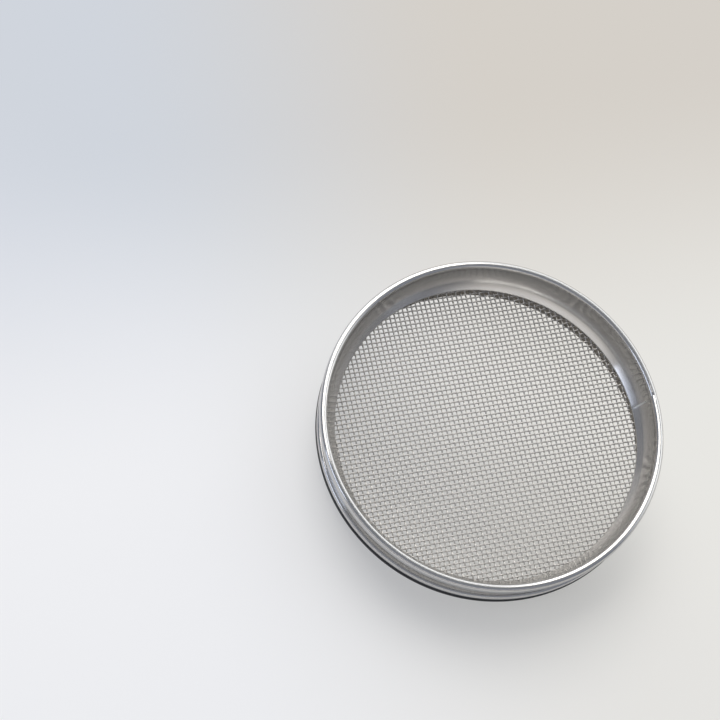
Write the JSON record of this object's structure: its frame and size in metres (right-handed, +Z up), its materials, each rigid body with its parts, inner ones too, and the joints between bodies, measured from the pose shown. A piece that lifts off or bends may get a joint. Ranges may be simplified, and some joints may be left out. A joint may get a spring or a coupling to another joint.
{
  "type": "test sieve",
  "caption": "Round laboratory test sieve: low stainless frame with rolled rim, clamped woven wire cloth, nesting skirt and rubber seal ring.",
  "frame": {"origin": "on the axis of the sieve, at the level of the skirt's lower edge, on which it stands", "axes": "+Z up along the axis, out of the sieve's open top; +X and +Y across and along the warp wires, with the frame's weld at +X"},
  "size_m": [0.2094, 0.2094, 0.0387],
  "materials": {
    "stainless_sheet": "formed and polished stainless sheet",
    "stainless_wire": "drawn stainless wire, plain woven",
    "black_rubber": "moulded black rubber, smooth and matt"
  },
  "bodies": {
    "root": {"frame": "stainless_sheet", "skirt": "stainless_sheet", "wire_cloth": "stainless_wire", "seal_ring": "black_rubber"}
  },
  "joints": []
}
